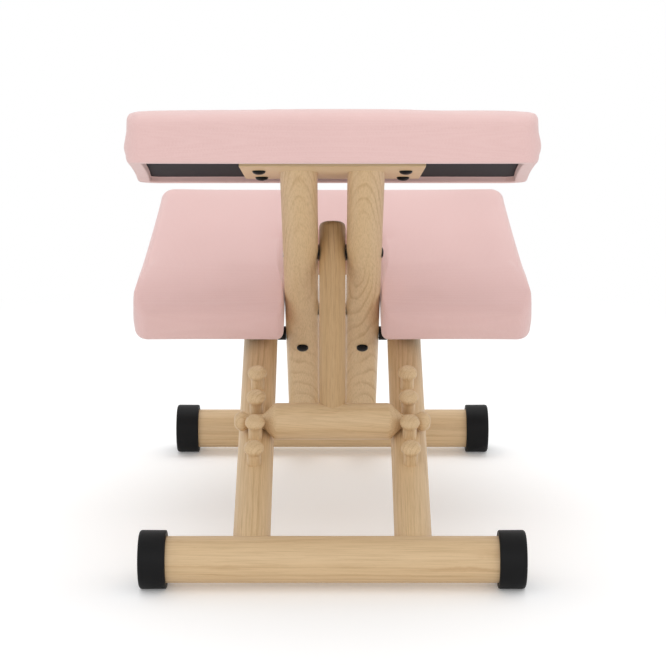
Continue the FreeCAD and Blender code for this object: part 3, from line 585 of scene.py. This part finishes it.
# Brackets: two blocks of the same wood with rounded corners, let into the pads' boards.
# The seat's block takes the tops of the posts, and the knee pad's lies across the rails.
def outline(corners, inset, bow=0.0, arc_points=10, side_points=36):
    """Closed curve round corners (x, y, radius), each side moved in by its inset.

    Straight sides and circular corners; the bow draws each side in by a parabola, so deep
    on a side of the bow's span. A corner keeps at least its least share of the radius.
    """
    least_share = 0.4
    bow_span = 0.45
    corners = np.array(corners, float)
    inset = np.broadcast_to(inset, len(corners))
    place = corners[:, :2]
    run = np.roll(place, -1, axis=0) - place
    ahead = run / np.linalg.norm(run, axis=1)[:, None]
    inward = np.stack([-ahead[:, 1], ahead[:, 0]], axis=-1)
    moved = place + inward * inset[:, None]
    behind = np.roll(ahead, 1, axis=0)
    turn = behind[:, 0] * ahead[:, 1] - behind[:, 1] * ahead[:, 0]
    gap = moved - np.roll(moved, 1, axis=0)
    along = (gap[:, 0] * ahead[:, 1] - gap[:, 1] * ahead[:, 0]) / turn
    point = np.roll(moved, 1, axis=0) + behind * along[:, None]
    wanted = corners[:, 2]
    both = (inset + np.roll(inset, 1)) / 2
    radius = np.where(turn > 0, np.maximum(wanted - both, least_share * wanted), wanted + both)
    half = np.abs(np.arctan2(turn, (behind * ahead).sum(axis=1))) / 2
    setback = (radius * np.tan(half))[:, None]
    start = point - behind * setback
    end = point + ahead * setback
    centre = point + (ahead - behind) * (radius / np.cos(half) / (2 * np.sin(half)))[:, None]
    share = np.linspace(0, 1, arc_points)[None, :, None]
    sweep = 2 * half[:, None, None]
    arcs = centre[:, None] + (np.sin((1 - share) * sweep) * (start - centre)[:, None]
                              + np.sin(share * sweep) * (end - centre)[:, None]) / np.sin(sweep)
    share = (np.arange(1, side_points + 1) / (side_points + 1))[None, :, None]
    following = np.roll(start, -1, axis=0)
    length = np.linalg.norm(following - end, axis=1)[:, None, None]
    drawn = bow * length / bow_span * 4 * share * (1 - share)
    sides = end[:, None] * (1 - share) + following[:, None] * share + inward[:, None] * drawn
    return np.concatenate([arcs, sides], axis=1).reshape(-1, 2)


def fill(curve, spacing):
    """Points on a grid inside a closed curve, and triangles between them and the curve."""
    low = curve.min(axis=0) + spacing / 2
    high = curve.max(axis=0)
    x, y = np.meshgrid(np.arange(low[0], high[0], spacing), np.arange(low[1], high[1], spacing))
    grid = np.stack([x.ravel(), y.ravel()], axis=-1)
    following = np.roll(curve, -1, axis=0)
    spans = (curve[:, 1] > grid[:, 1, None]) != (following[:, 1] > grid[:, 1, None])
    rise = np.where(following[:, 1] == curve[:, 1], 1.0, following[:, 1] - curve[:, 1])
    crossing = curve[:, 0] + (grid[:, 1, None] - curve[:, 1]) * (following[:, 0] - curve[:, 0]) / rise
    inside = (spans & (grid[:, 0, None] < crossing)).sum(axis=1) % 2 == 1
    near = np.linalg.norm(grid[:, None] - curve, axis=-1).min(axis=1) < 0.6 * spacing
    grid = grid[inside & ~near]
    count = len(curve)
    points = np.concatenate([curve, grid])
    borders = [(index, (index + 1) % count) for index in range(count)]
    made = delaunay_2d_cdt([tuple(point) for point in points], borders, [], 1, 1e-7)
    if len(made[0]) != len(points):
        raise ValueError("the fill of a pad changed its points")
    return grid, np.array(made[2])


def pad_surface(corners, levels, bow=0.0, spacing=0.012):
    """Closed surface through outlines at levels (height, inset), filled at both ends."""
    curves = [outline(corners, inset, bow) for _, inset in levels]
    heights = np.array([height for height, _ in levels])
    around = len(curves[0])
    stack = np.concatenate([np.stack(curves), np.broadcast_to(heights[:, None, None],
                            (len(levels), around, 1))], axis=-1)
    place = np.arange(around)
    following = (place + 1) % around
    row = np.arange(len(levels) - 1)[:, None] * around
    quads = np.stack([row + place, row + following, row + around + following,
                      row + around + place], axis=-1).reshape(-1, 4)
    low_grid, low_faces = fill(curves[0], spacing * 2)
    high_grid, high_faces = fill(curves[-1], spacing)
    first_low = around * len(levels)
    first_high = first_low + len(low_grid)
    low_faces = np.where(low_faces < around, low_faces, low_faces - around + first_low)[:, ::-1]
    top_row = around * (len(levels) - 1)
    high_faces = np.where(high_faces < around, high_faces + top_row, high_faces - around + first_high)
    vertices = np.concatenate([
        stack.reshape(-1, 3), np.column_stack([low_grid, np.full(len(low_grid), heights[0])]),
        np.column_stack([high_grid, np.full(len(high_grid), heights[-1])])])
    return vertices, quads.tolist() + low_faces.tolist() + high_faces.tolist()


def laid(vertices, origin, slope):
    """Points of a level pad plane, turned about X by the slope and moved to the origin."""
    x, y, z = vertices.T
    return np.stack([x, y * math.cos(slope) - z * math.sin(slope),
                     y * math.sin(slope) + z * math.cos(slope)], axis=-1) + origin


def slab_levels(bottom, top, edge):
    """Levels of a block whose upper and lower edges are rounded by a quarter circle."""
    angle = np.linspace(0, math.pi / 2, 5)
    low = [(bottom + edge * (1 - math.sin(a)), edge * (1 - math.cos(a))) for a in angle[::-1]]
    high = [(top - height + bottom, inset) for height, inset in low[::-1]]
    return [(bottom, 3 * edge), *low, *high, (top, 3 * edge)]


def rectangle(half_width, rear, front, radius):
    """Corners (x, y, radius) of a rectangle across the chair, from the rear left round."""
    return [(-half_width, rear, radius), (half_width, rear, radius),
            (half_width, front, radius), (-half_width, front, radius)]


rim_depth = 0.007
panel_thickness = 0.002
let_into_board = 0.011
bracket_edge = 0.0012
bracket_corner = 0.005
seat_bracket_half = 0.104
seat_bracket_rear = -0.093
seat_bracket_front = 0.087
seat_bracket_log = (0.02, 0.06, 18.0)
seat_origin = post_top + seat_up * seat_proud
vertices, faces = pad_surface(
    rectangle(seat_bracket_half, seat_bracket_rear, seat_bracket_front, bracket_corner),
    slab_levels(-seat_proud, rim_depth + panel_thickness + let_into_board, bracket_edge))
piece("seat_bracket_wood", (laid(vertices, seat_origin, seat_slope), faces), pale_wood, "seat_frame",
      ["seat_bracket"], vertices[:, [1, 2, 0]] + seat_bracket_log)

knee_slope = math.atan2(rail_direction[2], rail_direction[1])
knee_underside = 0.0395
knee_origin = rear_axis * [0, 1, 1] + rail_normal * knee_underside
sunk_on_rails = 0.003
knee_bracket_bottom = node_size("rail_left")[0] / 2 - knee_underside - sunk_on_rails
knee_bracket_top = 0.020
knee_bracket_half = 0.125
knee_bracket_rear = 0.528
knee_bracket_front = 0.586
knee_bracket_log = (-0.5, 0.05, 20.0)
vertices, faces = pad_surface(
    rectangle(knee_bracket_half, knee_bracket_rear, knee_bracket_front, bracket_corner),
    slab_levels(knee_bracket_bottom, knee_bracket_top, bracket_edge))
piece("knee_bracket_wood", (laid(vertices, knee_origin, knee_slope), faces), pale_wood, "base",
      ["knee_bracket"], vertices[:, [1, 2, 0]] + knee_bracket_log)


# Bolts and screws: black steel with low domed heads. Four hold the seat to its block,
# four hold the knee pad to the rails, and two lock the pins on which the cross turns.
black_metal = moulded("black_metal", linear(14, 14, 15), 0.32, 2600.0, 0.00004)
dome_radius = 0.0075
dome_height = 0.0045
seat_bolt_places = (-0.035, 0.059)
seat_bolt_half_spacing = 0.0835
knee_bolt_places = (0.543, 0.571)


def joined(parts):
    """Several surfaces as one list of vertices and faces."""
    vertices = []
    faces = []
    count = 0
    for some_vertices, some_faces in parts:
        vertices.append(some_vertices)
        faces += [[corner + count for corner in face] for face in some_faces]
        count += len(some_vertices)
    return np.concatenate(vertices), faces


def dome(radius, height, seat, direction, sink=0.004):
    """Domed head: a quarter ellipse over a low rim, on a short shank.

    The rim is 0.18 of the height, and the other sizes are shares of the radius.
    """
    angle = np.linspace(0, math.radians(84), 12)
    head = np.stack([radius * np.cos(angle), 0.18 * height + 0.82 * height * np.sin(angle)], axis=-1)
    shank = np.array([[0.15 * radius, -sink], [0.4 * radius, -sink], [0.4 * radius, 0.0],
                      [0.9 * radius, 0.0], [radius, 0.04 * height]])
    return turned(np.concatenate([shank, head]), seat, unit(direction), around=40)


seat_bolts = []
for along in seat_bolt_places:
    for side in (-1, 1):
        seat = laid(np.array([[side * seat_bolt_half_spacing, along, -seat_proud]]), seat_origin,
                    seat_slope)[0]
        seat_bolts.append(dome(dome_radius, dome_height, seat, -seat_up))
piece("seat_bolt_heads", joined(seat_bolts), black_metal, "seat_frame", ["seat_bolts"])

knee_bolts = []
for along in knee_bolt_places:
    for word in ("left", "right"):
        rail = "rail_" + word
        seat = (rear_axis * [0, 1, 1] + across_chair * node_centre(rail)[0] + rail_direction * along
                - rail_normal * node_size(rail)[0] / 2)
        knee_bolts.append(dome(dome_radius, dome_height, seat, -rail_normal))
piece("knee_bolt_heads", joined(knee_bolts), black_metal, "base", ["knee_bolts"])

post_normal = np.cross(post_direction, across_chair)
lock_screws = []
for word in ("left", "right"):
    node = "post_" + word
    seat = (cross_pivot * [0, 1, 1] + across_chair * node_centre(node)[0]
            - post_normal * node_size(node)[0] / 2)
    lock_screws.append(dome(dome_radius, dome_height, seat, -post_normal))
piece("lock_screw_heads", joined(lock_screws), black_metal, "seat_frame",
      ["lock_screws"])


# Hidden and half hidden fittings, kept as they come: steel pins, rods and nuts, the black
# plastic spacers, washers and sleeve that keep the bars apart, and the pads' plywood boards.
def brushed(name, colour, roughness):
    """Steel with fine lines round it in its gloss."""
    material, tree, shader = finish_material(name)
    place = add_node(tree, "TexCoord").outputs["Object"]
    lines = add_node(tree, "TexNoise", {"Vector": stretched(tree, place, (4000, 300, 300)),
                                        "Scale": 1.0, "Detail": 2.0})
    gloss = add_node(tree, "MapRange", {0: lines.outputs["Fac"], 3: roughness - 0.1,
                                        4: roughness + 0.1})
    darker = tuple(0.9 * part for part in colour[:3]) + (1,)
    tint = ramp(tree, lines.outputs["Fac"], [(0.3, colour), (0.7, darker)])
    set_inputs(tree, shader, {"Base Color": tint, "Metallic": 1.0, "Roughness": gloss.outputs[0]})
    return material


bright_steel = brushed("bright_steel", linear(200, 200, 202), 0.3)
black_plastic = moulded("black_plastic", linear(16, 16, 17), 0.42, 1800.0, 0.0001)


def from_object(turn):
    """Place in the piece itself, turned so that the fibres run along the board."""
    def coordinates(tree):
        place = add_node(tree, "TexCoord").outputs["Object"]
        return add_node(tree, "Mapping", {"Vector": place, "Rotation": turn}).outputs[0]
    return coordinates


board_wood = wood("board_wood", linear(205, 180, 145), linear(170, 140, 105),
                  from_object((0, math.pi / 2, 0)))
for material, nodes in (
        (black_plastic, ("cross_spacer_left", "cross_spacer_right", "strut_washer_left",
                         "strut_washer_right", "tie_sleeve")),
        (bright_steel, ("cross_pin_left", "cross_pin_right", "tie_rod", "strut_nut",
                        "strut_screw", "seat_t_nuts", "knee_t_nuts")),
        (black_metal, ("strut_bolt",)),
        (board_wood, ("seat_board", "knee_board"))):
    for node in nodes:
        materials = frame["nodes"][node].data.materials
        materials.clear()
        materials.append(material)


# Seat: a foam cushion on a plywood board, in a tight cover of pink woven cloth. The cover is
# drawn over the sides and stapled under the rim, round a panel of black fleece.
def woven(name, colour, shade):
    """Plain woven cloth: a lattice of sines of the three pad directions, with uneven threads."""
    material, tree, shader = finish_material(name)
    vector = from_attribute(tree)
    thread_spacing = 0.0015
    thread = 2 * math.pi / thread_spacing
    waves = add_node(tree, "VectorMath", {0: stretched(tree, vector, (thread,) * 3)}, operation="SINE")
    parts = add_node(tree, "SeparateXYZ", {0: waves.outputs[0]})
    total = None
    for first, second in ((0, 1), (1, 2), (2, 0)):
        product = add_node(tree, "Math", {0: parts.outputs[first], 1: parts.outputs[second]},
                           operation="MULTIPLY").outputs[0]
        total = product if total is None else add_node(tree, "Math", {0: total, 1: product},
                                                       operation="ADD").outputs[0]
    uneven = add_node(tree, "TexNoise", {"Vector": vector, "Scale": 700.0, "Detail": 2.0})
    height = add_node(tree, "Math", {0: total, 1: uneven.outputs["Fac"]}, operation="ADD")
    tone = ramp(tree, add_node(tree, "MapRange", {0: height.outputs[0], 1: -0.7, 2: 1.7}).outputs[0],
                [(0.0, shade), (0.6, colour)])
    cloud = add_node(tree, "TexNoise", {"Vector": vector, "Scale": 9.0, "Detail": 2.0})
    cloud_tone = ramp(tree, cloud.outputs["Fac"], [(0.3, (0.97, 0.965, 0.965, 1)), (0.7, (1, 1, 1, 1))])
    coloured = add_node(tree, "MixRGB", {0: 1.0, 1: tone, 2: cloud_tone}, blend_type="MULTIPLY")
    bump = add_node(tree, "Bump", {"Strength": 0.35, "Distance": 0.0003, "Height": height.outputs[0]})
    set_inputs(tree, shader, {"Base Color": coloured.outputs[0], "Roughness": 0.88,
                              "Normal": bump.outputs[0], "Specular IOR Level": 0.2,
                              "Sheen Weight": 0.5, "Sheen Roughness": 0.5})
    return material


pink_fabric = woven("pink_fabric", linear(237, 201, 197), linear(232, 192, 188))
rim_width = 0.017
lip = 0.0018
tuck_inset = 0.0045
tuck_height = 0.010
cloth_give = 0.0012


def cover_levels(thickness, crown_insets, crown_heights, bulge):
    """Levels of a cover from the panel's recess, round the lip and up to the flat top.

    The lip is a half circle and the tucked side a quarter sine. Over each side the crown is a
    quarter ellipse of that side's own inset and height, so some edges roll and some are crisp.
    """
    fold_depth = 0.0012
    fold_width = 0.001
    rim_wall_end = 0.004
    levels = [(rim_depth + fold_depth, rim_width + fold_width), (rim_depth, rim_width),
              (rim_wall_end, rim_width)]
    angle = np.linspace(0, math.pi / 2, 5)
    levels += [(lip * (1 - math.sin(a)), rim_width - lip * (1 - math.cos(a))) for a in angle]
    tuck = np.linspace(0, math.pi / 2, 8)
    levels += [(tuck_height * (1 - math.cos(a)), tuck_inset * (1 - math.sin(a))) for a in tuck]
    insets = np.array(crown_insets)
    heights = np.array(crown_heights)
    base = thickness - heights.max()
    for share in np.linspace(0, 1, 7)[1:-1]:
        levels.append((tuck_height + (base - tuck_height) * share, -bulge * math.sin(math.pi * share)))
    for a in np.linspace(0, math.pi / 2, 20):
        height = base + heights.max() * math.sin(a)
        climbed = np.clip((height - thickness + heights) / heights, 0, 1)
        levels.append((height, insets * (1 - np.sqrt(1 - climbed ** 2))))
    return levels


def panel_levels():
    """Levels of the thin panel that lies inside the rim, with a small step at its edge."""
    slack = 0.0006
    edge_width = 0.0034
    edge_step = 0.0002
    edge = rim_width + slack
    top = rim_depth + panel_thickness
    return [(rim_depth + edge_step, edge + edge_width), (rim_depth, edge), (top, edge),
            (top, edge + edge_width)]


def inflated(made, held, most):
    """Cloth under light pressure from inside, held where it is stapled.

    Each point then moves by most * tanh(move / most), so none moves further than most.
    """
    mesh = made.data
    rest = np.empty(len(mesh.vertices) * 3)
    mesh.vertices.foreach_get("co", rest)
    rest = rest.reshape(-1, 3)
    group = made.vertex_groups.new(name="stapled")
    group.add(np.flatnonzero(held).tolist(), 1.0, "REPLACE")
    cloth = made.modifiers.new("stretch", "CLOTH")
    settings = cloth.settings
    settings.quality = 4
    settings.mass = 0.3
    settings.tension_stiffness = 12
    settings.compression_stiffness = 12
    settings.bending_stiffness = 4
    settings.use_pressure = True
    settings.uniform_pressure_force = 4
    settings.vertex_group_mass = "stapled"
    settings.effector_weights.gravity = 0
    cloth.point_cache.frame_start = 1
    cloth.point_cache.frame_end = 20
    scene = bpy.context.scene
    for number in range(1, 21):
        scene.frame_set(number)
    shown = made.evaluated_get(bpy.context.evaluated_depsgraph_get()).to_mesh()
    blown = np.empty(len(shown.vertices) * 3)
    shown.vertices.foreach_get("co", blown)
    made.modifiers.remove(cloth)
    made.vertex_groups.remove(group)
    scene.frame_set(1)
    move = blown.reshape(-1, 3) - rest
    length = np.maximum(np.linalg.norm(move, axis=1), 1e-9)[:, None]
    mesh.vertices.foreach_set("co", (rest + move * most * np.tanh(length / most) / length).ravel())
    mesh.update()


def upholstered(name, corners, levels, bow, drop, origin, slope, body):
    """Cover of one pad in the sloping plane of its node, with the cloth's own coordinates.

    Across its width the cushion falls to the sides by drop * (x / half width)^2 at its top.
    """
    vertices, faces = pad_surface(corners, levels, bow)
    across = vertices[:, 0] / vertices[:, 0].max()
    up = np.clip(vertices[:, 2] / vertices[:, 2].max(), 0, 1)
    vertices[:, 2] -= drop * across ** 2 * up
    made = piece(name + "_cover_cloth", (laid(vertices, origin, slope), faces), pink_fabric, body,
                 [name + "_cover", name + "_foam"], vertices)
    inflated(made, vertices[:, 2] < tuck_height, cloth_give)


seat_rear = -0.139
seat_front = 0.177
half_seat_rear = 0.225
half_seat_front = 0.242
seat_thickness = 0.0608
seat_bulge = 0.0016
seat_bow = 0.0025
seat_drop = 0.004
seat_rear_corner = 0.018
seat_front_corner = 0.030
seat_corners = [(-half_seat_rear, seat_rear, seat_rear_corner),
                (half_seat_rear, seat_rear, seat_rear_corner),
                (half_seat_front, seat_front, seat_front_corner),
                (-half_seat_front, seat_front, seat_front_corner)]
seat_crown = ((0.030, 0.007, 0.034, 0.007), (0.022, 0.010, 0.024, 0.010))
upholstered("seat", seat_corners, cover_levels(seat_thickness, *seat_crown, seat_bulge), seat_bow,
            seat_drop, seat_origin, seat_slope, "seat_frame")
under_panel = moulded("under_panel", linear(46, 47, 51), 0.8, 1200.0, 0.0002)
vertices, faces = pad_surface(seat_corners, panel_levels(), seat_bow)
piece("seat_under_panel_fleece", (laid(vertices, seat_origin, seat_slope), faces), under_panel,
      "seat_frame", ["seat_under_panel"])


# Knee pad: made as the seat is, thicker, with a deep notch at its rear edge that the posts
# pass through. It lies on the block across the rails.
half_notch = 0.062
knee_rear = 0.3555
knee_front = 0.613
notch_end = 0.498
half_knee_rear = 0.2535
half_knee_front = 0.2295
knee_thickness = 0.0685
knee_bulge = 0.0006
knee_bow = 0.002
knee_drop = 0.001
knee_rear_corner = 0.018
knee_front_corner = 0.019
notch_mouth_corner = 0.010
notch_end_corner = 0.012
knee_corners = [(-half_knee_rear, knee_rear, knee_rear_corner),
                (-half_notch, knee_rear, notch_mouth_corner),
                (-half_notch, notch_end, notch_end_corner),
                (half_notch, notch_end, notch_end_corner),
                (half_notch, knee_rear, notch_mouth_corner),
                (half_knee_rear, knee_rear, knee_rear_corner),
                (half_knee_front, knee_front, knee_front_corner),
                (-half_knee_front, knee_front, knee_front_corner)]
knee_crown = ((0.080, 0.012, 0.012, 0.012, 0.080, 0.012, 0.013, 0.012),
              (0.030, 0.012, 0.012, 0.012, 0.030, 0.012, 0.013, 0.012))
upholstered("knee", knee_corners, cover_levels(knee_thickness, *knee_crown, knee_bulge), knee_bow,
            knee_drop, knee_origin, knee_slope, "base")
vertices, faces = pad_surface(knee_corners, panel_levels(), knee_bow)
piece("knee_under_panel_fleece", (laid(vertices, knee_origin, knee_slope), faces), under_panel,
      "base", ["knee_under_panel"])
